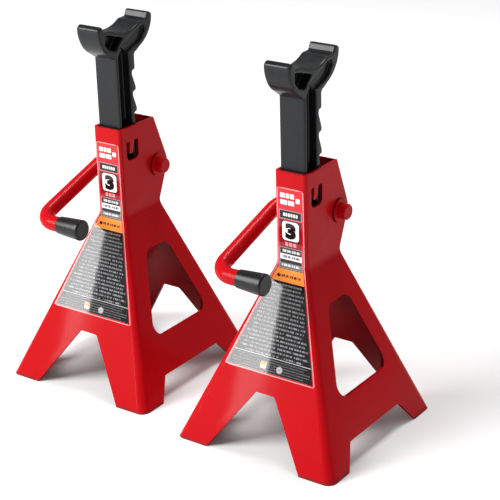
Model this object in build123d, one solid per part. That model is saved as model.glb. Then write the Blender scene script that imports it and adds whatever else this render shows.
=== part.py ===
# A pair of ratchet jack stands. Each stand is a folded sheet frame on four
# feet, a cast ratchet bar with a saddle on top, and a bent release handle
# that carries the pawl. Millimetres, +Z up, +X along the label face's width,
# label faces look to -Y. Origin on the floor midway between the two stands.
import os
from math import acos, atan2, cos, hypot, radians, sin, sqrt, tan

from build123d import *

os.makedirs("parts", exist_ok=True)

# Frame
base_w = 185.0          # across the label face, X
base_d = 192.0          # front to back, Y
base_round = 9.0        # outer radius of the leg corners at the floor
sheet = 3.0             # sheet thickness
neck_w = 36.0           # outside width of the neck
neck_front = -20.5      # outer face of the neck's front wall
neck_rear = 41.0        # outer face of the rear wall at the bend
neck_round = 4.0        # outer radius of the neck's upright edges
neck_round_in = 1.2
bend_z = 180.0          # the legs flare out below this height
top_z = 275.5           # mouth of the neck
top_rear = 38.0         # outer face of the rear wall at the mouth
mouth_round = 4.0       # rounding of the mouth's rear corner, seen from the side

# The pair: stand a is in front on the right, stand b behind it on the left.
pair_gap = 53.0         # between the two bases
pair_dx = base_w + pair_gap
pair_dy = 15.0

# Pivot of the handle, inside the ear at the back of the neck
pivot_y = 38.5
pivot_z = 222.0
rod_r = 8.0
rod_running = 0.08      # radial clearance of the rod in the frame's holes
hub_wall = 6.0          # pawl hub outside the rod
hub_gap = 2.0           # pawl hub to the inside of the ear
pawl_hub_r = rod_r + hub_wall
ear_r = pawl_hub_r + hub_gap + sheet
rim_wall = 4.5
rim_r = rod_r + rim_wall    # raised rim round the pivot hole
rim_h = 2.5
rim_round = 1.0

# Openings in the flared part
side_window = [(-43.3, 60.0), (51.6, 60.0), (28.0, 142.0), (-7.7, 142.0)]
side_window_r = 11.5
end_foot, end_notch_in, end_notch_z = 37.5, 44.0, 62.0      # foot width, slant, top
side_foot, side_notch_in, side_notch_z = 32.5, 17.5, 23.5
end_notch_foot = base_w / 2 - end_foot
end_notch_top = end_notch_foot - end_notch_in
side_notch_foot = base_d / 2 - side_foot
side_notch_top = side_notch_foot - side_notch_in
notch_r = 3.5

# Stop tab cut on three sides in each side plate and pressed inwards
tab_front, tab_rear = -4.6, 1.6
tab_slot = 6.4          # width of the slot round the tab
slot_round = 6.0
tab_round = 2.6
tab_top, tab_low = 260.0, 245.7
tab_lean = 8.0

# Welds down the front and rear centre lines
seam = 1.0              # gap between the halves, filled by the weld
bead_w = 4.6
bead_h = 0.9

# Label
label_t = 0.25
label_top_z = 259.5
label_low_z = 79.5
label_inset = 3.0       # from the neck's sides
label_inset_low = 6.6   # from the flared wall's sides at the label's foot
label_top_half = neck_w / 2 - label_inset
label_low_half = base_w / 2 - (base_w - neck_w) / 2 * label_low_z / bend_z - label_inset_low
label_round = 3.0

# Ratchet bar
bar_side_gap = 0.4      # to each side plate of the neck
bar_front_gap = 2.5     # to the neck's front wall
bar_depth = 29.0
tooth_depth = 4.7
bar_w = neck_w - 2 * sheet - 2 * bar_side_gap
bar_front = neck_front + sheet + bar_front_gap
tooth_crest = bar_front + bar_depth
tooth_root = tooth_crest - tooth_depth
tooth_pitch = 22.5
tooth_rise = 1.4        # the tooth's bearing face slopes up by this much
tooth_land = 4.0
root_land = 4.0
tooth_low, tooth_high = -3, 3   # notches below and above the one at the pawl
notch_level = 264.2     # bearing face of the notch level with the pawl
stop_gap = 0.7          # left between foot and tabs at the highest notch
bar_foot = 13.7         # height of the foot that meets the stop tabs
recess_low = tab_low - tooth_high * tooth_pitch - stop_gap
bar_low = recess_low - bar_foot
recess_front, recess_rear = tab_front - 7.4, tab_rear + 3.4
web_half = 5.0
bar_round = 1.5

# Saddle, heights above its underside
seat_gap = 0.5          # underside to the neck's mouth at the lowest notch
under_z = top_z - tooth_low * tooth_pitch + seat_gap
saddle_y = 2.6
cradle_r = 42.75
cradle_floor = 30.5
cradle_half = 22.5
ledge_half, ledge_z = 32.8, 37.3
tip_in_half, tip_in_z = 35.2, 42.2
tip_half, tip_z = 38.2, 44.0
tip_out_half, tip_out_z = 41.4, 42.0
side_half, side_z = 42.4, 38.6
front_belly = [(41.6, 32.0), (39.0, 24.8), (35.1, 18.3), (30.0, 13.2), (23.4, 8.8), (19.6, 6.2)]
rear_belly = [(41.3, 32.0), (38.4, 25.8), (33.4, 19.4), (27.0, 14.2), (19.8, 10.3), (14.0, 7.2)]
belly_foot = 2.6
# Hollows in each side of the saddle, with the core left between the two sides
front_hollow = [(-33.4, 34.4), (-33.6, 24.5), (-27.5, 18.2), (-19.0, 14.8), (-15.5, 15.4),
                (-12.6, 19.3), (-6.5, 24.8), (-4.6, 26.6), (-10.0, 28.0), (-17.5, 30.0),
                (-25.0, 32.6)]
rear_hollow = [(-11.2, 17.4), (-4.4, 21.3), (4.4, 24.0), (13.2, 27.9), (22.0, 31.6),
               (29.5, 32.4), (31.0, 27.5), (24.4, 18.9), (16.4, 14.6), (8.6, 12.2),
               (3.4, 10.2), (-4.0, 10.5)]
hollow_round = 1.2
front_core, rear_core = 5.0, 11.0

# Handle
arm_gap = 7.9           # straight rod between the neck's rim and the first bend
arm_len = 123.5
arm_drop = 18.0         # degrees below level at rest
bend_r_top, bend_r_low = 20.0, 19.0
arm_x = -(neck_w / 2 + rim_h + arm_gap + bend_r_top)    # centre line of the arm
stub_proud = 8.5        # rod end beyond the far rim
stub_end = neck_w / 2 + rim_h + stub_proud
grip_start, grip_len = 28.4, 30.4   # from the arm's centre line
grip_in = arm_x + grip_start
grip_out = grip_in + grip_len
grip_wall_in, grip_wall_out = 1.2, 3.0
grip_cap = 3.0
grip_gap = 0.05
grip_round = 1.6

# Pawl, drawn engaged and turned back by pawl_back to just clear the teeth
pawl_side_gap = 3.0
pawl_w = neck_w - 2 * sheet - 2 * pawl_side_gap
pawl_back = 7.0
pawl_gap = 0.05
nose_gap = 0.6          # nose tip to the root of a notch
pin_r = 2.5
pin_gap = 0.02
pin_bore_r = 1.3
pin_proud = 0.5
pin_len = 2 * (pawl_hub_r + pin_proud)


def yz(points):
    """Closed outline in the YZ plane."""
    return Plane.YZ * make_face(Polyline(*points, close=True))


def prism(face, half):
    return extrude(face, amount=half, both=True, dir=(1, 0, 0))


def tangent(from_y, from_z, side):
    """Direction, in radians, of the ear circle's tangent point."""
    dy, dz = from_y - pivot_y, from_z - pivot_z
    return atan2(dz, dy) - side * acos(ear_r / hypot(dy, dz))


upper_dir = tangent(top_rear, top_z, 1)
lower_dir = tangent(neck_rear, bend_z, -1)


def ear_point(angle, r):
    return pivot_y + r * cos(angle), pivot_z + r * sin(angle)


def ear_line(angle, r, z):
    """Point at height z on the ear circle's tangent line."""
    y0, z0 = ear_point(angle, r)
    return y0 - (z - z0) * tan(angle), z


def neck_outline(inset, low, high):
    """Side outline of the neck with the ear at its back."""
    r = ear_r - inset
    front = neck_front + inset
    a, b = ear_point(upper_dir, r), ear_point(lower_dir, r)
    rear = Polyline((front, high), ear_line(upper_dir, r, high), a)
    ear = ThreePointArc(a, (pivot_y + r, pivot_z), b)
    back = Polyline(b, ear_line(lower_dir, r, low), (front, low), (front, high))
    return Plane.YZ * make_face([*rear.edges(), ear, *back.edges()])


def rounded_neck(inset, low, high, radius):
    half = neck_w / 2 - inset
    body = prism(neck_outline(inset, low, high), half)
    long_edges = [e for e in body.edges()
                  if abs(abs(e.center().X) - half) < 0.01
                  and low + 0.5 < e.center().Z < high - 0.5]
    return fillet(long_edges, radius)


def rect_at(z, x_half, y0, y1, radius):
    return Pos(0, (y0 + y1) / 2, z) * RectangleRounded(2 * x_half, y1 - y0, radius)


def flare(inset, low, high):
    """The four-sided skirt, each wall moved in by inset square to itself."""
    def at(z):
        k = 1 - z / bend_z
        walls = []
        for top, foot in ((neck_w / 2, base_w / 2), (-neck_front, base_d / 2),
                          (neck_rear, base_d / 2)):
            lean = (foot - top) / bend_z
            walls.append(top + (foot - top) * k - inset * sqrt(1 + lean * lean))
        return walls
    sections = []
    for z in (low, high):
        x, front, rear = at(z)
        radius = neck_round + (base_round - neck_round) * (1 - z / bend_z)
        sections.append(rect_at(z, x, -front, rear, max(radius - inset, 0.8)))
    return loft(sections)


def notch(top_half, foot_half, z):
    """Trapezoid with rounded top corners, open at the floor."""
    lean = (foot_half - top_half) / z
    drop = 5.0
    low = foot_half + lean * drop
    face = make_face(Polyline((-low, -drop), (low, -drop), (top_half, z),
                              (-top_half, z), close=True))
    return fillet([v for v in face.vertices() if v.Y > 0], notch_r)


def strip_face(half, top, low, radius):
    """Upright strip in a side plate, rounded at its lower end."""
    face = make_face(Polyline((-half, top), (-half, low), (half, low), (half, top),
                              close=True))
    return fillet([v for v in face.vertices() if v.Y < low + 0.01], radius)


def mouth_corner():
    """What the rounding takes off the mouth's rear corner."""
    r = mouth_round
    y, z = ear_line(upper_dir, ear_r - r, top_z - r)
    away = (y + 3 * r * cos(upper_dir), z + 3 * r * sin(upper_dir))
    square = make_face(Polyline((y, z), (y, top_z + 1), (y + 4 * r, top_z + 1), away,
                                close=True))
    return Plane.YZ * (square - Pos(y, z) * Circle(r))


def make_shell():
    # Skirt and neck run a little way into each other, so they meet at the bend.
    outer = flare(0, 0, bend_z + 2) + rounded_neck(0, bend_z - 8, top_z, neck_round)
    inner = flare(sheet, -10, bend_z + 2) + rounded_neck(sheet, bend_z - 8, top_z + 5,
                                                         neck_round_in)
    shell = outer - inner
    window = fillet(make_face(Polyline(*side_window, close=True)).vertices(),
                    side_window_r)
    shell -= prism(Plane.YZ * window, base_w)
    shell -= prism(Plane.YZ * notch(side_notch_top, side_notch_foot, side_notch_z),
                   base_w)
    shell -= extrude(Plane.XZ * notch(end_notch_top, end_notch_foot, end_notch_z),
                     amount=base_d, both=True)
    across = Plane.YZ.offset(-base_w) * Pos(pivot_y, pivot_z)
    slot_y = (tab_front + tab_rear) / 2
    tab_half = (tab_rear - tab_front) / 2
    slot = strip_face(tab_half + tab_slot, tab_top, tab_low - tab_slot, slot_round)
    shell -= prism(Plane.YZ * Pos(slot_y, 0) * slot, base_w)
    shell -= prism(mouth_corner(), base_w)
    for side in (-1, 1):
        rim = Pos(side * (neck_w / 2 + rim_h / 2), pivot_y, pivot_z) * Rot(0, 90, 0) \
            * Cylinder(rim_r, rim_h)
        outer_edge = rim.edges().sort_by(Axis.X)[-1 if side > 0 else 0]
        shell += fillet(outer_edge, rim_round)
        tab = prism(Plane.YZ * strip_face(tab_half, 1.0, tab_low - tab_top, tab_round),
                    sheet / 2)
        shell += Pos(side * (neck_w - sheet) / 2, slot_y, tab_top) \
            * Rot(0, side * tab_lean, 0) * tab
    shell -= extrude(across * Circle(rod_r + rod_running), amount=2 * base_w)
    return shell


def slab(x0, x1, y0, y1):
    """Upright block used to part the frame along its centre line."""
    size_z = top_z + 60
    return Pos((x0 + x1) / 2, (y0 + y1) / 2, size_z / 2 - 20) \
        * Box(x1 - x0, y1 - y0, size_z)


def seam_outline(grow):
    """Outline of the frame on its centre plane, pushed out by grow."""
    front_lean = (base_d / 2 + neck_front) / bend_z
    rear_lean = (base_d / 2 - neck_rear) / bend_z
    fg = grow * sqrt(1 + front_lean ** 2)
    rg = grow * sqrt(1 + rear_lean ** 2)
    r = ear_r + grow
    a, b = ear_point(upper_dir, r), ear_point(lower_dir, r)
    # The flared rear wall and the lower ear tangent meet near the waist.
    slope = -tan(lower_dir)
    waist_z = (neck_rear + rg + rear_lean * bend_z - b[0] + slope * b[1]) \
        / (slope + rear_lean)
    waist = (b[0] + slope * (waist_z - b[1]), waist_z)
    top = ear_line(upper_dir, r, top_z)
    front = neck_front - grow
    bend = bend_z + (fg - grow) / front_lean
    path = Polyline((-base_d / 2 - fg, 0), (front, bend), (front, top_z), top, a)
    low = Polyline(b, waist, (base_d / 2 + rg, 0), (-base_d / 2 - fg, 0))
    ear = ThreePointArc(a, (pivot_y + r, pivot_z), b)
    return Plane.YZ * make_face([*path.edges(), ear, *low.edges()])


def make_bead(low, high, rear):
    band = seam_outline(bead_h) - seam_outline(0)
    strip = prism(band, bead_w / 2)
    mid = bend_z / 10
    y0, y1 = (mid, base_d) if rear else (-base_d, mid)
    strip &= Pos(0, (y0 + y1) / 2, (low + high) / 2) * Box(20, y1 - y0, high - low)
    return strip


def make_label():
    """Thin decal bent over the line where the front wall flares."""
    lean = (base_d / 2 + neck_front) / bend_z
    out = label_t * sqrt(1 + lean * lean)
    bend = bend_z + (out - label_t) / lean

    def front(z, extra):
        return neck_front - (bend_z - z) * lean - extra
    side = yz([(neck_front, label_top_z), (neck_front - label_t, label_top_z),
               (neck_front - label_t, bend), (front(label_low_z, out), label_low_z),
               (front(label_low_z, 0), label_low_z), (neck_front, bend_z)])
    mid_half = label_top_half + 0.6
    outline = make_face(Polyline((-label_low_half, label_low_z),
                                 (label_low_half, label_low_z), (mid_half, bend_z),
                                 (label_top_half, label_top_z),
                                 (-label_top_half, label_top_z), (-mid_half, bend_z),
                                 close=True))
    corners = [v for v in outline.vertices() if abs(v.Y - bend_z) > 1]
    outline = fillet(corners, label_round)
    return prism(side, base_w / 2) & extrude(Plane.XZ * outline, amount=base_d)


def bar_outline():
    pts = [(bar_front, bar_low), (bar_front, under_z + 6), (tooth_crest, under_z + 6)]
    for k in range(tooth_high, tooth_low - 1, -1):
        z = notch_level + k * tooth_pitch
        pts += [(tooth_crest, z + tooth_rise), (tooth_root, z),
                (tooth_root, z - root_land)]
        foot = z + tooth_rise + tooth_land - tooth_pitch
        if foot > bar_low:
            pts.append((tooth_crest, foot))
    pts.append((tooth_crest, bar_low))
    return yz(pts)


def saddle_outline():
    def at(y, z):
        return saddle_y + y, under_z + z
    sag = cradle_floor + cradle_r - sqrt(cradle_r ** 2 - cradle_half ** 2)
    edges = [ThreePointArc(at(-cradle_half, sag), at(0, cradle_floor), at(cradle_half, sag))]
    rear_y, front_y = tooth_crest - saddle_y, saddle_y - bar_front
    for s, root, belly in ((1, rear_y, rear_belly), (-1, front_y, front_belly)):
        ledge = Polyline(at(s * cradle_half, sag), at(s * ledge_half, ledge_z),
                         at(s * tip_in_half, tip_in_z))
        tip = Spline(at(s * tip_in_half, tip_in_z), at(s * tip_half, tip_z),
                     at(s * tip_out_half, tip_out_z), at(s * side_half, side_z),
                     tangents=((s * 0.44, 0.9), (0, -1)))
        under = Spline(at(s * side_half, side_z), *[at(s * y, z) for y, z in belly],
                       at(s * root, belly_foot), tangents=((0, -1), (0, -1)))
        edges += [*ledge.edges(), tip, under,
                  Line(at(s * root, belly_foot), at(s * root, -4))]
    edges.append(Line(at(rear_y, -4), at(-front_y, -4)))
    return Plane.YZ * make_face(edges)


def hollow_face(outline):
    pts = [(saddle_y + y, under_z + z) for y, z in outline]
    face = make_face(Polyline(*pts, close=True))
    return Plane.YZ * fillet(face.vertices(), hollow_round)


def make_bar():
    bar = prism(bar_outline(), bar_w / 2) + prism(saddle_outline(), bar_w / 2)
    recess_mid = (recess_front + recess_rear) / 2
    arch_foot, arch_top = under_z + 4, under_z + 15
    recess = make_face([
        *Polyline((recess_front, arch_foot), (recess_front, recess_low),
                  (recess_rear, recess_low), (recess_rear, arch_foot)).edges(),
        ThreePointArc((recess_rear, arch_foot), (recess_mid + 6.4, arch_top - 4.4),
                      (recess_mid, arch_top)),
        ThreePointArc((recess_mid, arch_top), (recess_mid - 6.4, arch_top - 4.4),
                      (recess_front, arch_foot))])
    cuts = [(Plane.YZ * recess, web_half), (hollow_face(front_hollow), front_core),
            (hollow_face(rear_hollow), rear_core)]
    for side in (-1, 1):
        for face, core in cuts:
            bar -= Pos(side * core, 0, 0) * extrude(face, amount=side * (bar_w / 2 - core + 1))
    front_edges = [e for e in bar.edges().filter_by(Axis.Z)
                   if abs(e.center().Y - bar_front) < 0.01
                   and abs(abs(e.center().X) - bar_w / 2) < 0.01]
    return fillet(front_edges, bar_round)


drop = radians(arm_drop)
arm_dir = Vector(0, -cos(drop), -sin(drop))
handle_plane = Plane(origin=(0, pivot_y, pivot_z), x_dir=(1, 0, 0),
                     z_dir=Vector(1, 0, 0).cross(arm_dir))


def make_rod():
    rod_end = grip_out - grip_cap
    path = FilletPolyline((stub_end, 0), (arm_x, 0), (arm_x, arm_len),
                          (rod_end, arm_len), radius=(bend_r_top, bend_r_low))
    start = Plane(origin=handle_plane.from_local_coords((stub_end, 0, 0)), z_dir=(-1, 0, 0))
    rod = sweep(start * Circle(rod_r), path=handle_plane * path)
    ends = [e for e in rod.edges() if e.geom_type == GeomType.CIRCLE
            and abs(e.radius - rod_r) < 0.01
            and (abs(e.center().X - stub_end) < 0.01 or abs(e.center().X - rod_end) < 0.01)]
    rod = chamfer(ends, 1.0)
    return rod - pin_space(pin_r + pin_gap)


def pin_space(radius):
    """Cross hole for the pawl's pin, square to the rod."""
    turn = Rot(-pawl_back - 35, 0, 0)
    return Pos(0, pivot_y, pivot_z) * turn * Cylinder(radius, 2 * pawl_hub_r + 10)


def make_grip():
    in_r, out_r = rod_r + grip_wall_in, rod_r + grip_wall_out
    bore = rod_r + grip_gap
    rod_end = grip_out - grip_cap
    half = make_face(Polyline((grip_in, bore), (grip_in, in_r), (grip_out, out_r),
                              (grip_out, 0), (rod_end + grip_gap, 0),
                              (rod_end + grip_gap, bore), close=True))
    outer = [v for v in half.vertices() if v.Y > bore + 0.5 and v.X > grip_in + 1]
    half = fillet(outer, grip_round)
    grip = revolve(half, axis=Axis.X)
    place = Plane(origin=handle_plane.from_local_coords((0, arm_len, 0)), x_dir=(1, 0, 0),
                  z_dir=handle_plane.z_dir)
    return place * grip


def make_pawl():
    """Hub on the rod with a nose that reaches up into the notches."""
    hub = prism(Plane.YZ * Pos(pivot_y, pivot_z) * Circle(pawl_hub_r), pawl_w / 2)
    tip_y = tooth_root + nose_gap
    nose = prism(yz([(tip_y, notch_level - 2.0), (tooth_crest + 3.0, notch_level + 0.6),
                     (pivot_y + 7.5, pivot_z + 12.0), (pivot_y, pivot_z),
                     (pivot_y - 12.3, pivot_z - 7.2),
                     (tooth_crest + 1.4, notch_level - 18.4),
                     (tip_y, notch_level - 4.4)]), pawl_w / 2)
    pawl = hub + nose
    back = Axis((0, pivot_y, pivot_z), (-1, 0, 0))
    pawl = pawl.rotate(back, pawl_back)
    pawl -= Pos(0, pivot_y, pivot_z) * Rot(0, 90, 0) * Cylinder(rod_r + pawl_gap, pawl_w + 2)
    return pawl - pin_space(pin_r + pin_gap)


def make_pin():
    """Split spring pin through pawl and rod."""
    pin = Cylinder(pin_r, pin_len) - Cylinder(pin_bore_r, pin_len + 2)
    pin -= Pos(pin_r, 0, 0) * Box(2 * pin_r, 0.8, pin_len + 2)
    return Pos(0, pivot_y, pivot_z) * Rot(-pawl_back - 35, 0, 0) * pin


def make_stand():
    shell = make_shell()
    g = seam / 2
    far = base_w
    parts = {
        "frame_left": shell & slab(-far, -g, -far, far),
        "frame_right": shell & slab(g, far, -far, far),
        "front_weld": (shell & slab(-g, g, -far, 0))
        + make_bead(end_notch_z + 1, label_low_z - 1, False),
        "rear_weld": (shell & slab(-g, g, 0, far))
        + make_bead(end_notch_z + 1, top_z - mouth_round - 2, True),
        "label": make_label(),
        "ratchet_bar": make_bar(),
        "handle_rod": make_rod(),
        "handle_grip": make_grip(),
        "pawl": make_pawl(),
        "pawl_pin": make_pin(),
    }
    return parts


stand = make_stand()
for letter, side in (("a", 1), ("b", -1)):
    place = Pos(side * pair_dx / 2, -side * pair_dy / 2, 0)
    for name, shape in stand.items():
        node = f"stand_{letter}_{name}"
        solids = (place * shape).solids()
        export_step(solids[0] if len(solids) == 1 else Compound(children=solids),
                    f"parts/{node}.step")
        print(node, len(solids), round(sum(s.volume for s in solids), 1))
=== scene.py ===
# Pair of ratchet jack stands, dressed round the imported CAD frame.
import math

import bmesh
import bpy
import numpy as np
from mathutils import Matrix, Quaternion, Vector
from mathutils.bvhtree import BVHTree


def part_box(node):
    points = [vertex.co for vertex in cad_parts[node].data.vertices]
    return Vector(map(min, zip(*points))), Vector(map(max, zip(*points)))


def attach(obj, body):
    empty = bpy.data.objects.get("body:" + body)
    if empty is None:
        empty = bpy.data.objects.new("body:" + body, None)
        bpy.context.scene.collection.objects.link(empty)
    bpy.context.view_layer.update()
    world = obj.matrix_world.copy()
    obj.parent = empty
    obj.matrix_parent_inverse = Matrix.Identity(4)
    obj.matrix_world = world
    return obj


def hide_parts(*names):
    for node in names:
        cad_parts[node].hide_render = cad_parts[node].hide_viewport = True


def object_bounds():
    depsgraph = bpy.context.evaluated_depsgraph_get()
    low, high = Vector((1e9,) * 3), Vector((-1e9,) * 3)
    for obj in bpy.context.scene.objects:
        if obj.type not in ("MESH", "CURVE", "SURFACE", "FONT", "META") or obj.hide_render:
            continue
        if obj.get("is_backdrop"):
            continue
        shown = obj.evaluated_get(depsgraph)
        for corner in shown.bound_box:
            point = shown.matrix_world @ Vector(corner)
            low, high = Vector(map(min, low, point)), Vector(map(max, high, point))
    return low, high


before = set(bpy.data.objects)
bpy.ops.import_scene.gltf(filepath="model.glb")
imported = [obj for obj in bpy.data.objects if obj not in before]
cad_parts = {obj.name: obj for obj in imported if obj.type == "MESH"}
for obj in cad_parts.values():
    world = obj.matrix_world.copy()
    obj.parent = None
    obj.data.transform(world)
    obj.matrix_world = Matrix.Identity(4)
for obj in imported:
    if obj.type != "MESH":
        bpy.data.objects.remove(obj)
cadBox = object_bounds()
mm = 0.001
letters = ("a", "b")


def standOrigin(letter):  # floor point under the middle of one stand's feet
    left, right = (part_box(f"stand_{letter}_frame_{side}") for side in ("left", "right"))
    return Vector(((left[0].x + right[1].x) / 2, (left[0].y + left[1].y) / 2, 0))


origins = {letter: standOrigin(letter) for letter in letters}
print("stand origins", [tuple(round(v, 4) for v in o) for o in origins.values()])


# ---- small helpers for shader trees
def addNode(tree, kind, inputs=None, **settings):
    node = tree.nodes.new(kind)
    for key, value in settings.items():
        setattr(node, key, value)
    for key, value in (inputs or {}).items():
        if isinstance(value, bpy.types.NodeSocket):
            tree.links.new(value, node.inputs[key])
        else:
            node.inputs[key].default_value = value
    return node


def calc(tree, operation, a, b=0.0):
    return addNode(tree, "ShaderNodeMath", {0: a, 1: b}, operation=operation).outputs[0]


def blendColour(tree, factor, under, over):
    mix = addNode(tree, "ShaderNodeMix", {"Factor": factor}, data_type="RGBA")
    for socket, value in ((mix.inputs[6], under), (mix.inputs[7], over)):
        if isinstance(value, bpy.types.NodeSocket):
            tree.links.new(value, socket)
        else:
            socket.default_value = (*value, 1)
    return mix.outputs[2]


def remap(tree, value, fromLow, fromHigh, toLow, toHigh):
    return addNode(tree, "ShaderNodeMapRange",
                   {"Value": value, "From Min": fromLow, "From Max": fromHigh,
                    "To Min": toLow, "To Max": toHigh}).outputs[0]


def noise(tree, place, scale, detail=2.0, roughness=0.5):
    return addNode(tree, "ShaderNodeTexNoise",
                   {"Vector": place, "Scale": scale, "Detail": detail,
                    "Roughness": roughness}).outputs[0]


def startMaterial(name, fixed):
    material = bpy.data.materials.new(name)
    material.use_nodes = True
    tree = material.node_tree
    shader = tree.nodes["Principled BSDF"]
    for key, value in fixed.items():
        shader.inputs[key].default_value = value
    place = addNode(tree, "ShaderNodeTexCoord").outputs["Object"]
    return material, tree, shader, place


def stackBumps(tree, shader, layers):  # layers: (height socket, strength, distance)
    normal = None
    for height, strength, distance in layers:
        inputs = {"Height": height, "Strength": strength, "Distance": distance}
        if normal:
            inputs["Normal"] = normal
        normal = addNode(tree, "ShaderNodeBump", inputs).outputs[0]
    tree.links.new(normal, shader.inputs["Normal"])


# ---- red powder coat
coatLook = {
    "deep": (0.425, 0.0020, 0.0050),
    "bright": (0.515, 0.0032, 0.0076),
    "scuff": (0.160, 0.020, 0.022),
    "paintedInsideShade": (0.110, 0.0012, 0.0020),       # painted shade on the inside walls, darker than the outside coat
    "scuffHeight": 2.5,    # mm above the floor
    "cloudScale": 9.0,     # all scales per metre
    "speckScale": 1400,
    "raggedScale": 260,
    "patchScale": 45,
    "waveScale": 38,
    "waveDepth": 0.35,     # mm
    "peelScale": 620,
    "peelDepth": 0.045,    # mm
    "roughness": (0.30, 0.40),
}


def makeCoat(name, look):
    material, tree, shader, place = startMaterial(
        name, {"Coat Weight": 0.12, "Coat Roughness": 0.07, "Specular IOR Level": 0.04})
    clouds = noise(tree, place, look["cloudScale"], 3.0)
    colour = blendColour(tree, clouds, look["deep"], look["bright"])
    specks = noise(tree, place, look["speckScale"], 1.0)
    colour = blendColour(tree, remap(tree, specks, 0.62, 0.75, 0.0, 0.10), colour, look["scuff"])
    # painted shade: faces marked inside are darkened towards the inside shade colour
    inside = addNode(tree, "ShaderNodeAttribute", attribute_name="inside").outputs["Fac"]
    insideShadeMask = calc(tree, "MULTIPLY", inside, remap(tree, clouds, 0.3, 0.7, 0.82, 1.0))
    colour = blendColour(tree, insideShadeMask, colour, look["paintedInsideShade"])
    height = addNode(tree, "ShaderNodeSeparateXYZ", {0: place}).outputs["Z"]
    ragged = calc(tree, "MULTIPLY", noise(tree, place, look["raggedScale"], 4.0),
                  look["scuffHeight"] * 2 * mm)
    foot = remap(tree, calc(tree, "SUBTRACT", ragged, height), 0.0, 0.5 * mm, 0.0, 0.75)
    colour = blendColour(tree, foot, colour, look["scuff"])
    tree.links.new(colour, shader.inputs["Base Color"])
    low, high = look["roughness"]
    patches = remap(tree, noise(tree, place, look["patchScale"], 3.0), 0.3, 0.7, low, high)
    tree.links.new(calc(tree, "ADD", patches, calc(tree, "MULTIPLY", foot, 0.3)),
                   shader.inputs["Roughness"])
    stackBumps(tree, shader, [
        (noise(tree, place, look["waveScale"], 2.0), 0.25, look["waveDepth"] * mm),
        (noise(tree, place, look["peelScale"], 2.0, 0.6), 0.5, look["peelDepth"] * mm)])
    return material


# ---- satin black coat over a sand casting
castLook = {
    "low": (0.0060, 0.0065, 0.0078),
    "high": (0.0120, 0.0128, 0.0148),
    # lighter colour for edges: rubbed wear and painted highlight
    "edgeWearAndHighlight": (0.050, 0.052, 0.056),
    "grainScale": 900,
    "grainDepth": 0.10,
    "lumpScale": 120,
    "lumpDepth": 0.35,
    "roughness": (0.30, 0.46),
}


def makeCast(name, look):
    material, tree, shader, place = startMaterial(
        name, {"Coat Weight": 0.34, "Coat Roughness": 0.10, "Specular IOR Level": 0.10})
    grain = noise(tree, place, look["grainScale"], 3.0, 0.6)
    lumps = noise(tree, place, look["lumpScale"], 3.0)
    colour = blendColour(tree, lumps, look["low"], look["high"])
    # edges lightened by pointiness: part rubbed wear, part painted highlight on the rounded edges
    edges = addNode(tree, "ShaderNodeNewGeometry").outputs["Pointiness"]
    edges = remap(tree, edges, 0.515, 0.56, 0.0, 0.55)
    edgeWearAndHighlight = calc(tree, "MULTIPLY", edges, remap(tree, lumps, 0.35, 0.6, 0.3, 1.0))
    colour = blendColour(tree, edgeWearAndHighlight, colour, look["edgeWearAndHighlight"])
    tree.links.new(colour, shader.inputs["Base Color"])
    tree.links.new(remap(tree, lumps, 0.3, 0.7, *look["roughness"]), shader.inputs["Roughness"])
    stackBumps(tree, shader, [(lumps, 0.35, look["lumpDepth"] * mm),
                              (grain, 0.45, look["grainDepth"] * mm)])
    return material


# ---- moulded rubber of the grip
rubberLook = {
    "worn": (0.012, 0.012, 0.013),
    "fresh": (0.005, 0.005, 0.0056),
    "grainScale": 1300,
    "grainDepth": 0.06,
    "roughness": (0.26, 0.38),
}


def makeRubber(name, look):
    material, tree, shader, place = startMaterial(
        name, {"Specular IOR Level": 0.32, "Sheen Weight": 0.02, "Sheen Roughness": 0.4})
    smudge = noise(tree, place, 70.0, 4.0)
    tree.links.new(blendColour(tree, remap(tree, smudge, 0.3, 0.75, 0.0, 1.0),
                               look["fresh"], look["worn"]), shader.inputs["Base Color"])
    tree.links.new(remap(tree, smudge, 0.3, 0.7, *look["roughness"]), shader.inputs["Roughness"])
    stackBumps(tree, shader, [
        (noise(tree, place, look["grainScale"], 2.0), 0.4, look["grainDepth"] * mm)])
    return material


# ---- bare pawl casting and plated spring pin
pawlLook = {"low": (0.07, 0.07, 0.072), "high": (0.19, 0.185, 0.18), "metal": 0.85,
            "roughness": (0.42, 0.6), "scale": 160, "depth": 0.25}
pinLook = {"low": (0.32, 0.31, 0.29), "high": (0.52, 0.51, 0.48), "metal": 1.0,
           "roughness": (0.24, 0.4), "scale": 420, "depth": 0.05}


def makeBareSteel(name, look):
    material, tree, shader, place = startMaterial(name, {"Metallic": look["metal"]})
    mottle = noise(tree, place, look["scale"], 4.0, 0.6)
    tree.links.new(blendColour(tree, mottle, look["low"], look["high"]),
                   shader.inputs["Base Color"])
    tree.links.new(remap(tree, mottle, 0.3, 0.7, *look["roughness"]), shader.inputs["Roughness"])
    stackBumps(tree, shader, [(mottle, 0.5, look["depth"] * mm)])
    return material


# ---- printed film: inks come from the mesh, rows of small marks from its "rows" attribute
filmLook = {"roughness": (0.30, 0.40), "coat": 0.75, "coatRoughness": 0.03, "specular": 0.05,
            "ripple": 0.08, "hazeScale": 55, "lineFoot": 0.26, "lineHead": 0.70,
            "wordScale": 4.6, "wordCut": 0.47}


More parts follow.
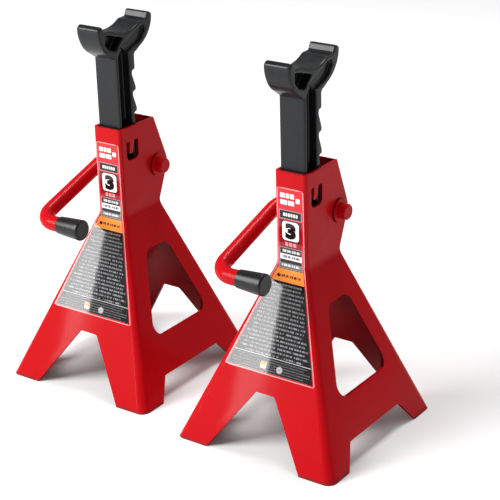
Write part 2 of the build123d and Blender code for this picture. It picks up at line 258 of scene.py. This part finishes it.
def makeFilm(name, look):
    material, tree, shader, place = startMaterial(
        name, {"Coat Weight": look["coat"], "Coat Roughness": look["coatRoughness"],
               "Specular IOR Level": look["specular"]})
    ink = addNode(tree, "ShaderNodeAttribute", attribute_name="ink").outputs["Color"]
    mark = addNode(tree, "ShaderNodeAttribute", attribute_name="mark")
    rows = addNode(tree, "ShaderNodeAttribute", attribute_name="rows").outputs["Vector"]
    rows = addNode(tree, "ShaderNodeSeparateXYZ", {0: rows}).outputs  # row, pitch, reach
    film = addNode(tree, "ShaderNodeUVMap", uv_map="film").outputs[0]
    across = addNode(tree, "ShaderNodeSeparateXYZ", {0: film}).outputs["X"]
    across = calc(tree, "MULTIPLY", calc(tree, "SUBTRACT", across, 0.5), filmScale)
    line = calc(tree, "FLOOR", rows[0])
    part = calc(tree, "SUBTRACT", rows[0], line)
    inLine = calc(tree, "MULTIPLY", calc(tree, "GREATER_THAN", part, look["lineFoot"]),
                  calc(tree, "LESS_THAN", part, look["lineHead"]))
    spot = addNode(tree, "ShaderNodeCombineXYZ",
                   {0: calc(tree, "DIVIDE", across, rows[1]),
                    1: calc(tree, "MULTIPLY", line, 3.7)}).outputs[0]
    words = addNode(tree, "ShaderNodeTexNoise",
                    {"Vector": spot, "Scale": look["wordScale"], "Detail": 0.0},
                    noise_dimensions="2D").outputs[0]
    words = calc(tree, "GREATER_THAN", words, look["wordCut"])
    ragged = addNode(tree, "ShaderNodeTexWhiteNoise", {"W": line}, noise_dimensions="1D").outputs[0]
    reach = calc(tree, "MULTIPLY", rows[2], remap(tree, ragged, 0.0, 1.0, 0.80, 1.0))
    inReach = calc(tree, "LESS_THAN", calc(tree, "ABSOLUTE", across), reach)
    mask = calc(tree, "MULTIPLY", calc(tree, "MULTIPLY", inLine, words),
                calc(tree, "MULTIPLY", inReach, mark.outputs["Alpha"]))
    tree.links.new(blendColour(tree, mask, ink, mark.outputs["Color"]),
                   shader.inputs["Base Color"])
    haze = noise(tree, place, look["hazeScale"], 3.0)
    tree.links.new(remap(tree, haze, 0.3, 0.7, *look["roughness"]), shader.inputs["Roughness"])
    stackBumps(tree, shader, [(haze, 0.3, look["ripple"] * mm)])
    return material


filmScale = 200.0  # mm of film across one unit of its map
paint = makeCoat("framePaint", coatLook)
cast = makeCast("barCasting", castLook)
rubber = makeRubber("gripRubber", rubberLook)
pawlSteel = makeBareSteel("pawlSteel", pawlLook)
pinSteel = makeBareSteel("pinSteel", pinLook)
filmInk = makeFilm("labelFilm", filmLook)
print("materials", len(bpy.data.materials))

finishOf = {"frame_paint": paint, "handle_steel": paint, "bar_casting": cast,
            "grip_rubber": rubber, "pawl_steel": pawlSteel, "pin_steel": pinSteel,
            "label_film": filmInk}


# ---- meshes of one stand, placed about its own floor point
def weldedCopy(node):  # shared vertices instead of loose triangles, about the stand's origin
    bm = bmesh.new()
    bm.from_mesh(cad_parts[node].data)
    bmesh.ops.remove_doubles(bm, verts=bm.verts[:], dist=0.02 * mm)
    bmesh.ops.translate(bm, verts=bm.verts[:], vec=-origins[node.split("_")[1]])
    return bm


def toMesh(bm, name, smoothAngle=None):
    mesh = bpy.data.meshes.new(name)
    bm.to_mesh(mesh)
    bm.free()
    for spare in ("custom_normal", "sharp_edge", "sharp_face"):
        if spare in mesh.attributes:
            mesh.attributes.remove(mesh.attributes[spare])
    mesh.materials.clear()
    if smoothAngle is not None:
        mesh.shade_smooth()
        mesh.set_sharp_from_angle(angle=math.radians(smoothAngle))
    return mesh


def applied(obj):  # the object's mesh with its modifiers in it, and the object removed
    graph = bpy.context.evaluated_depsgraph_get()
    mesh = bpy.data.meshes.new_from_object(obj.evaluated_get(graph))
    bpy.data.objects.remove(obj)
    return mesh


def looseObject(name, mesh):
    obj = bpy.data.objects.new(name, mesh)
    bpy.context.scene.collection.objects.link(obj)
    return obj


# The bend where the legs flare out is a soft press bend, not a crease.
bendLook = {"height": 180.0, "reach": 5.0, "steps": 8, "front": 0.4194, "side": 0.4139,
            "rear": 0.7517, "neckHalf": 18.0, "neckFront": -20.5, "neckRear": 41.0,
            "corner": 4.0}


def bendFill(z, change):  # how far out the soft bend stands from the crease, mm
    away = bendLook["reach"] - abs(z - bendLook["height"])
    return change * away * away / (4 * bendLook["reach"]) if away > 0 else 0.0


def softenBend(bm):
    look = bendLook
    for k in range(look["steps"] + 1):
        z = look["height"] + look["reach"] * (2 * k / look["steps"] - 1)
        bmesh.ops.bisect_plane(bm, geom=bm.verts[:] + bm.edges[:] + bm.faces[:],
                               plane_co=(0, 0, z * mm), plane_no=(0, 0, 1), dist=1e-7)
    for v in bm.verts:
        x, y, z = v.co / mm
        if abs(z - look["height"]) >= look["reach"]:
            continue
        r = look["corner"]
        sideways = min(max((abs(x) - look["neckHalf"] + r) / r, 0.0), 1.0)
        forwards = min(max((look["neckFront"] + r - y) / r, 0.0), 1.0)
        backwards = min(max((y - look["neckRear"] + 2 * r) / r, 0.0), 1.0)
        v.co.x += math.copysign(bendFill(z, look["side"]) * sideways, x) * mm
        v.co.y += (bendFill(z, look["rear"]) * backwards
                   - bendFill(z, look["front"]) * forwards) * mm


def markInside(mesh):  # walls that look at the stand's axis get the painted inside shade
    inside = mesh.attributes.new("inside", "FLOAT", "FACE")
    inside.data.foreach_set("value", [
        1.0 if f.center.xy.dot(f.normal.xy) < -0.25 * f.center.xy.length else 0.0
        for f in mesh.polygons])
    return mesh


def frameHalf(side):
    bm = weldedCopy(f"stand_a_frame_{side}")
    softenBend(bm)
    bmesh.ops.dissolve_limit(bm, angle_limit=math.radians(0.4), verts=bm.verts[:],
                             edges=bm.edges[:], delimit={"NORMAL"})
    return markInside(toMesh(bm, f"frame_{side}", 28))


def weldCore(which):
    bm = weldedCopy(f"stand_a_{which}_weld")
    softenBend(bm)
    if which == "front":  # ground back almost flush under the label
        for v in bm.verts:
            wall = (bendLook["neckFront"] - bendLook["front"]
                    * (bendLook["height"] - v.co.z / mm) - weldLook["groundHeight"]) * mm
            if v.co.z < (bendLook["height"] - bendLook["reach"]) * mm and v.co.y < wall:
                v.co.y = wall
    return markInside(toMesh(bm, f"{which}_weld", 28))


barLook = {"voxel": 0.8, "smoothSteps": 7, "smoothFactor": 0.5}


def ratchetBar():  # cast edges: remeshed, then eased
    rough = looseObject("barDraft", toMesh(weldedCopy("stand_a_ratchet_bar"), "barDraft"))
    remesh = rough.modifiers.new("grain", "REMESH")
    remesh.mode = "VOXEL"
    remesh.voxel_size = barLook["voxel"] * mm
    ease = rough.modifiers.new("ease", "SMOOTH")
    ease.factor = barLook["smoothFactor"]
    ease.iterations = barLook["smoothSteps"]
    mesh = applied(rough)
    mesh.shade_smooth()
    return mesh


def plainCopy(node, name, smoothAngle=30):
    return toMesh(weldedCopy(node), name, smoothAngle)


# ---- grip: a turned rubber sleeve, fatter towards its closed end
gripLook = {"segments": 56, "mouthRadius": 9.2, "endRadius": 11.0, "boreRadius": 8.05,
            "boreDepth": 27.35, "round": 2.0, "lip": 0.45, "roundSteps": 6}


def gripProfile(length):  # (distance from the mouth, radius) in mm, from bore floor to cap centre
    look = gripLook
    points = [(look["boreDepth"], 0.0), (look["boreDepth"], look["boreRadius"]),
              (0.35, look["boreRadius"]), (0.0, look["boreRadius"] + 0.3),
              (0.0, look["mouthRadius"] - 0.5), (0.35, look["mouthRadius"])]
    straight = length - look["round"]
    for k in range(1, 8):  # slight swell along the sleeve
        t = k / 8
        points.append((0.35 + (straight - 0.35) * t, look["mouthRadius"]
                       + (look["endRadius"] - look["mouthRadius"]) * t ** 0.9))
    for k in range(look["roundSteps"] + 1):
        turn = math.pi / 2 * k / look["roundSteps"]
        points.append((straight + look["round"] * math.sin(turn),
                       look["endRadius"] - look["round"] * (1 - math.cos(turn))))
    points.append((length - 0.25, look["endRadius"] * 0.45))
    points.append((length - 0.30, 0.0))
    return points


def gripMesh():
    low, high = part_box("stand_a_handle_grip")
    low, high = low - origins["a"], high - origins["a"]
    axisY, axisZ = (low.y + high.y) / 2, (low.z + high.z) / 2
    bm = bmesh.new()
    rings = []
    for along, radius in gripProfile((high.x - low.x) / mm):
        x = low.x + along * mm
        if radius == 0.0:
            rings.append([bm.verts.new((x, axisY, axisZ))])
            continue
        ring = []
        for k in range(gripLook["segments"]):
            turn = 2 * math.pi * k / gripLook["segments"]
            ring.append(bm.verts.new((x, axisY + radius * mm * math.cos(turn),
                                      axisZ + radius * mm * math.sin(turn))))
        rings.append(ring)
    for first, second in zip(rings, rings[1:]):
        count = gripLook["segments"]
        for k in range(count):
            corners = [first[k % len(first)], first[(k + 1) % len(first)],
                       second[(k + 1) % len(second)], second[k % len(second)]]
            bm.faces.new(list(dict.fromkeys(corners)))
    bmesh.ops.recalc_face_normals(bm, faces=bm.faces[:])
    return toMesh(bm, "handle_grip", 35)


# ---- label: one bent film, its inks held on the face corners
labelLook = {
    "top": 259.5, "low": 79.5, "halfTop": 15.0, "halfBend": 15.6, "halfLow": 53.0,
    "corner": 3.0, "proud": 0.22, "thick": 0.26, "rim": 0.8, "outline": 0.6,
    "stepEnd": 0.4, "stepBend": 1.2, "stepFlat": 4.0, "nearBend": 8,
}
inks = {
    # the pale pink ink along the film's edge is a painted highlight, not print
    "rim": (0.80, 0.38, 0.38), "red": (0.66, 0.010, 0.018), "deepRed": (0.19, 0.004, 0.007),
    "black": (0.0045, 0.0045, 0.0055), "white": (0.80, 0.80, 0.80), "grey": (0.34, 0.34, 0.35),
    "midGrey": (0.13, 0.13, 0.135), "orange": (0.82, 0.26, 0.045), "pink": (0.70, 0.26, 0.27),
    "paleGrey": (0.24, 0.24, 0.25), "cream": (0.72, 0.56, 0.40), "paleBlue": (0.36, 0.46, 0.56),
}
slopeStretch = math.hypot(1.0, bendLook["front"])
neckRun = labelLook["top"] - bendLook["height"]


def filmHeight(s):  # height on the wall at distance s down the label
    if s < neckRun:
        return labelLook["top"] - s
    return bendLook["height"] - (s - neckRun) / slopeStretch


def filmPoint(u, s, proud):  # place of film point (u, s), both in mm
    z = filmHeight(s)
    fill = bendFill(z, bendLook["front"])
    wall = bendLook["neckFront"] - fill
    if z < bendLook["height"]:
        wall -= bendLook["front"] * (bendLook["height"] - z)
    lean = math.atan(bendLook["front"]) * min(max(
        (bendLook["height"] + bendLook["reach"] - z) / (2 * bendLook["reach"]), 0.0), 1.0)
    return Vector((u, wall - proud * math.cos(lean), z + proud * math.sin(lean))) * mm


labelLength = neckRun + (bendLook["height"] - labelLook["low"]) * slopeStretch


def filmHalf(s):  # half width at distance s, with rounded corners at both ends
    if s < neckRun:
        half = labelLook["halfTop"] + (labelLook["halfBend"] - labelLook["halfTop"]) * s / neckRun
    else:
        half = labelLook["halfBend"] + (labelLook["halfLow"] - labelLook["halfBend"]) \
            * (s - neckRun) / (labelLength - neckRun)
    r = labelLook["corner"]
    near = min(s, labelLength - s)
    return half - (r - math.sqrt(max(r * r - (r - near) ** 2, 0.0)) if near < r else 0.0)


# Bands from the top: length mm, half width as (share, extra mm), ink,
# outline ink, ink of the small marks, row pitch mm
neckHalf, legHalf = (0.84, 0.0), (1.0, -2.0)
bands = [
    # the first and last bands are the painted edge highlight across the film's ends
    (0.8, neckHalf, "rim", None, None, 0), (20.9, neckHalf, "red", None, None, 0),
    (0.7, neckHalf, "red", None, None, 0), (0.6, neckHalf, "grey", None, None, 0),
    (8.0, neckHalf, "black", "grey", None, 0), (0.6, neckHalf, "grey", None, None, 0),
    (1.0, neckHalf, "red", None, None, 0), (22.2, neckHalf, "deepRed", None, None, 0),
    (5.2, neckHalf, "deepRed", None, None, 0), (1.2, neckHalf, "deepRed", None, None, 0),
    (0.6, neckHalf, "grey", None, None, 0), (6.2, neckHalf, "black", "grey", "white", 6.2),
    (5.8, neckHalf, "white", "grey", "black", 5.8), (3.2, neckHalf, "black", "grey", None, 0),
    (5.4, neckHalf, "midGrey", "grey", "white", 5.4), (0.6, neckHalf, "grey", None, None, 0),
    (0.6, neckHalf, "black", None, None, 0), (4.0, legHalf, "orange", None, None, 0),
    (5.6, legHalf, "orange", None, "black", 5.6), (3.0, legHalf, "orange", None, None, 0),
    (1.2, legHalf, "black", None, None, 0), (73.5, legHalf, "black", None, "paleGrey", 3.87),
    (0.4, legHalf, "white", None, None, 0), (1.0, legHalf, "black", None, None, 0),
]


def labelBands():
    rest = labelLength - sum(b[0] for b in bands) - 1.8
    return bands + [(rest, legHalf, "black", None, "midGrey", 2.6),
                    (1.0, legHalf, "red", None, None, 0), (0.8, legHalf, "rim", None, None, 0)]


def cellRow(band, s):  # edges across the film at s, and what fills each cell
    _, (share, extra), ink, outline, mark, _ = band
    whole = filmHalf(s)
    main = min(share * whole + extra, whole - 0.2)
    rimHalf = whole - min(labelLook["rim"], (whole - main) / 2)
    edges = [whole, rimHalf, main]
    # outermost cells take the painted highlight along the film's sides
    fills = ["rim", "red"]
    if outline:
        edges.append(main - labelLook["outline"])
        fills.append(outline)
    full = [-e for e in edges] + edges[::-1]
    return full, fills + [ink] + fills[::-1]


def labelFilm():
    points, faces, ink, mark, rows, film = [], [], [], [], [], []
    s0 = 0.0
    for band in labelBands():
        s1 = s0 + band[0]
        nearEnd = s0 < labelLook["corner"] or s1 > labelLength - labelLook["corner"]
        nearBend = s0 < neckRun + labelLook["nearBend"] and s1 > neckRun - labelLook["nearBend"]
        step = labelLook["stepEnd" if nearEnd else "stepBend" if nearBend else "stepFlat"]
        count = max(1, math.ceil(band[0] / step))
        levels = [s0 + (s1 - s0) * k / count for k in range(count + 1)]
        start = len(points)
        width = len(cellRow(band, s0)[0])
        for s in levels:
            points += [(u, s) for u in cellRow(band, s)[0]]
        fills = cellRow(band, s0)[1]
        for k in range(count):
            for c, fill in enumerate(fills):
                a = start + k * width + c
                loop = [a, a + width, a + width + 1, a + 1]
                faces.append(loop)
                main = c == len(fills) // 2
                for index in loop:
                    u, s = points[index]
                    tone = inks[fill]
                    if fill == "deepRed":  # brighter towards the bottom of its field
                        tone = [v * (0.75 + 0.9 * (s - 32) / 30) for v in tone]
                    ink.append((*tone, 1.0))
                    marked = main and band[4]
                    mark.append((*inks[band[4] or "black"], 1.0 if marked else 0.0))
                    reach = max(filmHalf(s) * band[1][0] + band[1][1] - 1.4, 0.1)
                    pitch = band[5] or 1.0
                    rows.append(((s - s0) / pitch, pitch, reach))
                    film.append((u / filmScale + 0.5, s / filmScale))
        s0 = s1
    return printedMesh("label_film", points, faces, ink, mark, rows, film,
                       labelLook["proud"], labelLook["thick"])


def printedMesh(name, points, faces, ink, mark, rows, film, proud, thick):
    mesh = bpy.data.meshes.new(name)
    mesh.from_pydata([filmPoint(u, s, proud) for u, s in points], [], faces)
    for key, kind, values in (("ink", "FLOAT_COLOR", ink), ("mark", "FLOAT_COLOR", mark),
                              ("rows", "FLOAT_VECTOR", rows)):
        layer = mesh.attributes.new(key, kind, "CORNER")
        field = "vector" if kind == "FLOAT_VECTOR" else "color"
        layer.data.foreach_set(field, np.array(values, np.float32).ravel())
    uv = mesh.uv_layers.new(name="film")
    uv.data.foreach_set("uv", np.array(film, np.float32).ravel())
    bm = bmesh.new()
    bm.from_mesh(mesh)
    bmesh.ops.remove_doubles(bm, verts=bm.verts[:], dist=0.005 * mm)
    if sum(f.normal.y * f.calc_area() for f in bm.faces) > 0:
        bmesh.ops.reverse_faces(bm, faces=bm.faces[:])
    bm.to_mesh(mesh)
    bm.free()
    sheet = looseObject(name, mesh)
    wall = sheet.modifiers.new("thickness", "SOLIDIFY")
    wall.thickness = thick * mm
    wall.offset = -1.0
    done = applied(sheet)
    done.shade_smooth()
    done.set_sharp_from_angle(angle=math.radians(20))
    return done


# ---- shapes printed over the film: (outline, ink), u and s in mm
printLook = {
    "badge": (0.0, 43.6, 9.6, 9.9, 3.4),      # u, s, half width, half height, corner
    "badgeShade": 0.8, "proud": 0.03, "thick": 0.08, "lift": 0.02,
    "numeral": "3", "numeralHeight": 16.4, "numeralWidth": 12.2, "numeralBold": 0.075,
    "bars": [(-11.4, -5.9, 5.2), (-5.0, -1.2, 5.2), (-0.3, 4.6, 5.2),
             (-11.4, -3.4, 12.2), (-2.5, 4.6, 12.2), (6.4, 11.0, 8.7)],
    "barHeight": 4.8,
    "triangle": (-11.5, 90.4, 2.0),
    "blocks": [(27.0, 3.5, "white", (1.9, 2.2, 2.1, 2.2, 2.2, 2.1), 0.75),
               (57.3, 4.0, "pink", (3.3, 3.9, 3.6), 1.0)],
    "stamp": (-8.5, 179.8, 3.4, 3.3, 0.5),
    "seal": (10.5, 180.8, 3.5),
}


def roundedBox(u, s, halfU, halfS, corner, steps=5):
    outline = []
    for cu, cs, start in ((1, 1, 0), (-1, 1, 90), (-1, -1, 180), (1, -1, 270)):
        for k in range(steps + 1):
            turn = math.radians(start + 90 * k / steps)
            outline.append((u + cu * (halfU - corner) + corner * math.cos(turn),
                            s + cs * (halfS - corner) + corner * math.sin(turn)))
    return outline


def disc(u, s, radius, steps=28):
    return [(u + radius * math.cos(2 * math.pi * k / steps),
             s + radius * math.sin(2 * math.pi * k / steps)) for k in range(steps)]


def numeralFaces():  # a plain bold figure, as flat triangles in film millimetres
    curve = bpy.data.curves.new("figure", "FONT")
    curve.body = printLook["numeral"]
    curve.offset = printLook["numeralBold"]
    curve.resolution_u = 6
    holder = looseObject("figure", curve)
    flat = applied(holder)
    bm = bmesh.new()
    bm.from_mesh(flat)
    bmesh.ops.remove_doubles(bm, verts=bm.verts[:], dist=1e-5)
    co = np.array([v.co[:2] for v in bm.verts])
    low, size = co.min(0), np.ptp(co, axis=0)
    u0, s0 = printLook["badge"][:2]
    places = [(u0 + ((x - low[0]) / size[0] - 0.5) * printLook["numeralWidth"],
               s0 - ((y - low[1]) / size[1] - 0.5) * printLook["numeralHeight"]) for x, y in co]
    bm.verts.index_update()
    faces = [[v.index for v in f.verts] for f in bm.faces]
    bm.free()
    return places, faces


def labelPrint():
    look = printLook
    u, s, halfU, halfS, corner = look["badge"]
    lift = look["lift"]
    shade = look["badgeShade"]
    shapes = [(roundedBox(u, s, halfU + shade, halfS + shade, corner + 0.5), "black", 0.0),
              (roundedBox(u, s, halfU, halfS, corner), "white", lift)]
    for left, right, down in look["bars"]:
        mid, half = (left + right) / 2, (right - left) / 2
        shapes.append((roundedBox(mid, down + look["barHeight"] / 2, half,
                                  look["barHeight"] / 2, 0.7, 3), "white", 0.0))
    for down, tall, ink, widths, gap in look["blocks"]:
        left = -(sum(widths) + gap * (len(widths) - 1)) / 2
        for wide in widths:
            shapes.append((roundedBox(left + wide / 2, down, wide / 2, tall / 2, 0.5, 2),
                           ink, 0.0))
            left += wide + gap
    u, s, size = look["triangle"]
    shapes.append(([(u - size, s + size * 0.8), (u + size, s + size * 0.8), (u, s - size)],
                   "black", 0.0))
    shapes.append((roundedBox(*look["stamp"]), "cream", 0.0))
    u, s, half, tall, _ = look["stamp"]
    shapes.append((roundedBox(u, s - tall * 0.5, half, tall * 0.5, 0.4), "orange", lift))
    u, s, radius = look["seal"]
    for share, ink, layer in ((1.0, "grey", 0), (0.74, "paleBlue", 1), (0.40, "orange", 2)):
        shapes.append((disc(u, s, radius * share), ink, layer * lift))
    points, faces, tones, lifts = [], [], [], []
    for outline, ink, height in shapes:
        faces.append(list(range(len(points), len(points) + len(outline))))
        points += outline
        tones.append(ink)
        lifts += [height] * len(outline)
    places, figure = numeralFaces()
    base = len(points)
    points += places
    lifts += [2 * lift] * len(places)
    faces += [[base + i for i in f] for f in figure]
    tones += ["black"] * len(figure)
    bm = bmesh.new()
    inkLayer = bm.loops.layers.float_color.new("ink")
    filmLayer = bm.loops.layers.uv.new("film")
    verts = [bm.verts.new(filmPoint(u, s, labelLook["proud"] + look["proud"] + height))
             for (u, s), height in zip(points, lifts)]
    for loop, tone in zip(faces, tones):
        face = bm.faces.new([verts[i] for i in loop])
        face.normal_update()
        for corner, index in zip(face.loops, loop):
            corner[inkLayer] = (*inks[tone], 1.0)
            corner[filmLayer].uv = (points[index][0] / filmScale + 0.5,
                                    points[index][1] / filmScale)
        if face.normal.y > 0:
            face.normal_flip()
    mesh = bpy.data.meshes.new("label_print")
    bm.to_mesh(mesh)
    bm.free()
    for key, kind in (("mark", "FLOAT_COLOR"), ("rows", "FLOAT_VECTOR")):
        mesh.attributes.new(key, kind, "CORNER")
    mesh.attributes["rows"].data.foreach_set("vector", np.ones(len(mesh.loops) * 3, np.float32))
    sheet = looseObject("label_print", mesh)
    wall = sheet.modifiers.new("thickness", "SOLIDIFY")
    wall.thickness = look["thick"] * mm
    wall.offset = -1.0
    return applied(sheet)


# ---- weld ripples: Geometry Nodes lay overlapping drops along the seam
weldLook = {"pitch": 1.9, "width": 3.1, "height": 1.25, "length": 1.9, "jitter": 0.12, "seed": 7,
            "groundHeight": 0.12, "lowEnd": 65.0, "highEnd": 266.0, "probeStep": 2.0,
            "probeSide": 1.2}


def rippleTree():
    tree = bpy.data.node_groups.new("weldRipples", "GeometryNodeTree")
    face = tree.interface
    face.new_socket("Geometry", in_out="INPUT", socket_type="NodeSocketGeometry")
    for key in ("pitch", "width", "height", "length", "jitter"):
        socket = face.new_socket(key, in_out="INPUT", socket_type="NodeSocketFloat")
        socket.default_value = weldLook[key] * (1.0 if key == "jitter" else mm)
    seed = face.new_socket("seed", in_out="INPUT", socket_type="NodeSocketInt")
    seed.default_value = weldLook["seed"]
    face.new_socket("Geometry", in_out="OUTPUT", socket_type="NodeSocketGeometry")
    start = addNode(tree, "NodeGroupInput").outputs
    path = addNode(tree, "GeometryNodeMeshToCurve", {"Mesh": start["Geometry"]}).outputs[0]
    even = addNode(tree, "GeometryNodeResampleCurve", {"Curve": path, "Length": start["pitch"]},
                   mode="LENGTH").outputs[0]
    drop = addNode(tree, "GeometryNodeMeshUVSphere", {"Segments": 10, "Rings": 6, "Radius": 1.0})
    size = addNode(tree, "ShaderNodeCombineXYZ", {"X": start["width"], "Y": start["height"],
                                                  "Z": start["length"]}).outputs[0]
    spread = addNode(tree, "ShaderNodeMath", {0: 1.0, 1: start["jitter"]}, operation="SUBTRACT")
    wide = addNode(tree, "ShaderNodeMath", {0: 1.0, 1: start["jitter"]}, operation="ADD")
    draw = addNode(tree, "FunctionNodeRandomValue",
                   {"Min": spread.outputs[0], "Max": wide.outputs[0], "Seed": start["seed"]},
                   data_type="FLOAT")
    for socket, value in ((draw.inputs[2], spread.outputs[0]), (draw.inputs[3], wide.outputs[0])):
        tree.links.new(value, socket)
    sized = addNode(tree, "ShaderNodeVectorMath", {0: size, "Scale": draw.outputs[1]},
                    operation="SCALE").outputs[0]
    tangent = addNode(tree, "GeometryNodeInputTangent").outputs[0]
    turn = addNode(tree, "FunctionNodeAlignRotationToVector", {"Vector": tangent},
                   axis="Z", pivot_axis="X").outputs[0]
    drops = addNode(tree, "GeometryNodeInstanceOnPoints",
                    {"Points": even, "Instance": drop.outputs[0], "Rotation": turn,
                     "Scale": sized}).outputs[0]
    real = addNode(tree, "GeometryNodeRealizeInstances", {0: drops}).outputs[0]
    smooth = addNode(tree, "GeometryNodeSetShadeSmooth", {0: real}).outputs[0]
    dressed = addNode(tree, "GeometryNodeSetMaterial", {"Geometry": smooth, "Material": paint})
    tree.links.new(dressed.outputs[0], addNode(tree, "NodeGroupOutput").inputs[0])
    return tree


def seamLine(half, lowZ, highZ):  # points up the rear wall, measured beside the seam
    surface = BVHTree.FromPolygons([v.co for v in half.vertices],
                                   [p.vertices for p in half.polygons])
    way = Vector((0, -1, 0))
    step, beside = weldLook["probeStep"], weldLook["probeSide"]
    line = []
    for k in range(int((highZ - lowZ) / step) + 1):
        z = lowZ + step * k
        hit = surface.ray_cast(Vector((beside * mm, 0, z * mm)) - way * 0.2, way)[0]
        if hit:
            line.append((0.0, hit.y, hit.z))
    return line


def weldRipples(name, line, tree):
    mesh = bpy.data.meshes.new(name)
    mesh.from_pydata(line, [(k, k + 1) for k in range(len(line) - 1)], [])
    seam = looseObject(name, mesh)
    layer = seam.modifiers.new("ripples", "NODES")
    layer.node_group = tree
    for socket in tree.interface.items_tree:
        if socket.in_out == "INPUT" and socket.name in weldLook:
            value = weldLook[socket.name]
            layer[socket.identifier] = value if socket.name in ("jitter", "seed") else value * mm
    return applied(seam)


# ---- build each mesh once, then set it down for both stands
halves = {side: frameHalf(side) for side in ("left", "right")}
print("frame halves", {k: len(m.polygons) for k, m in halves.items()})
tree = rippleTree()
rearLine = seamLine(halves["right"], weldLook["lowEnd"], weldLook["highEnd"])
rearRipples = weldRipples("rear_weld_ripples", rearLine, tree)
print("weld ripples", len(rearRipples.polygons))
barMesh = ratchetBar()
print("bar faces", len(barMesh.polygons))

# piece name, mesh, body, CAD node replaced or None, finish slot
plan = [
    ("frame_left", halves["left"], "frame", "frame_left", "frame_paint"),
    ("frame_right", halves["right"], "frame", "frame_right", "frame_paint"),
    ("front_weld", weldCore("front"), "frame", "front_weld", "frame_paint"),
    ("rear_weld", weldCore("rear"), "frame", "rear_weld", "frame_paint"),
    ("rear_weld_ripples", rearRipples, "frame", None, "frame_paint"),
    ("label_film", labelFilm(), "frame", "label", "label_film"),
    ("label_print", labelPrint(), "frame", None, "label_film"),
    ("ratchet_bar", barMesh, "bar", "ratchet_bar", "bar_casting"),
    ("handle_rod", plainCopy("stand_a_handle_rod", "handle_rod"), "handle", "handle_rod",
     "handle_steel"),
    ("handle_grip", gripMesh(), "handle", "handle_grip", "grip_rubber"),
    ("pawl", plainCopy("stand_a_pawl", "pawl"), "handle", "pawl", "pawl_steel"),
    ("pawl_pin", plainCopy("stand_a_pawl_pin", "pawl_pin"), "handle", "pawl_pin", "pin_steel"),
]
for letter in letters:
    for name, mesh, body, node, slot in plan:
        own = mesh.copy()
        own.transform(Matrix.Translation(origins[letter]))
        own.materials.clear()
        own.materials.append(finishOf[slot])
        piece = looseObject(f"stand_{letter}_{name}.look", own)
        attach(piece, f"stand_{letter}_{body}")
        if node:
            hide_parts(f"stand_{letter}_{node}")


# ---- floor, lights and camera
stageLook = {"floorHalf": 6.0, "floorColour": (0.97, 0.97, 0.97), "worldStrength": 0.30}


def makeFloor():
    h = stageLook["floorHalf"]
    mesh = bpy.data.meshes.new("floor")
    mesh.from_pydata([(-h, -h, 0), (h, -h, 0), (h, h, 0), (-h, h, 0)], [], [(0, 1, 2, 3)])
    material, tree, shader, place = startMaterial("paleFloor", {"Specular IOR Level": 0.0})
    tone = stageLook["floorColour"]
    tree.links.new(blendColour(tree, noise(tree, place, 3.0), tone, [v * 0.985 for v in tone]),
                   shader.inputs["Base Color"])
    shader.inputs["Roughness"].default_value = 0.9
    mesh.materials.append(material)
    looseObject("floor", mesh)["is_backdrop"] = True


lamps = [  # name, place, aim, width, height, watts, lean in degrees
    ("keyBox", (-1.9, -2.3, 2.0), (0, 0, 0.15), 1.9, 1.9, 150, 0),
    ("topBox", (-0.3, 0.9, 2.8), (0, 0, 0.2), 0.9, 0.9, 40, 0),
    ("rimBox", (1.6, 2.2, 1.4), (0, 0, 0.15), 1.0, 1.2, 5, 0),
    ("stripA", (-1.000, -1.73, 0.59), (0.10, -0.07, 0.15), 0.12, 0.46, 2.3, 14),
    ("stripB", (-1.550, -1.73, 0.60), (-0.14, -0.06, 0.15), 0.10, 0.46, 1.9, 14),
]


def addLamp(name, place, aim, width, height, watts, lean):
    data = bpy.data.lights.new(name, "AREA")
    data.shape = "RECTANGLE"
    data.size, data.size_y = width, height
    data.energy = watts
    lamp = bpy.data.objects.new(name, data)
    lamp.location = place
    facing = (Vector(aim) - Vector(place)).to_track_quat("-Z", "Y")
    lamp.rotation_euler = (facing @ Quaternion((0, 0, 1), math.radians(lean))).to_euler()
    bpy.context.scene.collection.objects.link(lamp)


cameraLook = {"place": (0.8980, -1.1819, 0.7781), "azimuth": 35.65, "elevation": 22.63,
              "roll": -1.59, "lens": 112.64}


def addCamera():
    look = cameraLook
    data = bpy.data.cameras.new("camera")
    data.lens = look["lens"]
    data.clip_start, data.clip_end = 0.05, 50
    camera = bpy.data.objects.new("camera", data)
    az, el = math.radians(look["azimuth"]), math.radians(look["elevation"])
    back = Vector((math.sin(az) * math.cos(el), -math.cos(az) * math.cos(el), math.sin(el)))
    camera.location = look["place"]
    turn = (-back).to_track_quat("-Z", "Y") @ Quaternion((0, 0, 1), math.radians(look["roll"]))
    camera.rotation_euler = turn.to_euler()
    bpy.context.scene.collection.objects.link(camera)
    bpy.context.scene.camera = camera


makeFloor()
for lamp in lamps:
    addLamp(*lamp)
addCamera()
world = bpy.data.worlds.new("studio")
world.use_nodes = True
world.node_tree.nodes["Background"].inputs[0].default_value = (1, 1, 1, 1)
world.node_tree.nodes["Background"].inputs[1].default_value = stageLook["worldStrength"]
bpy.context.scene.world = world
bpy.context.scene.view_settings.view_transform = "Standard"
print("stage set")

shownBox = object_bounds()
for label, box in (("cad size", cadBox), ("shown size", shownBox)):
    print(label, [round(high - low, 4) for low, high in zip(*box)])
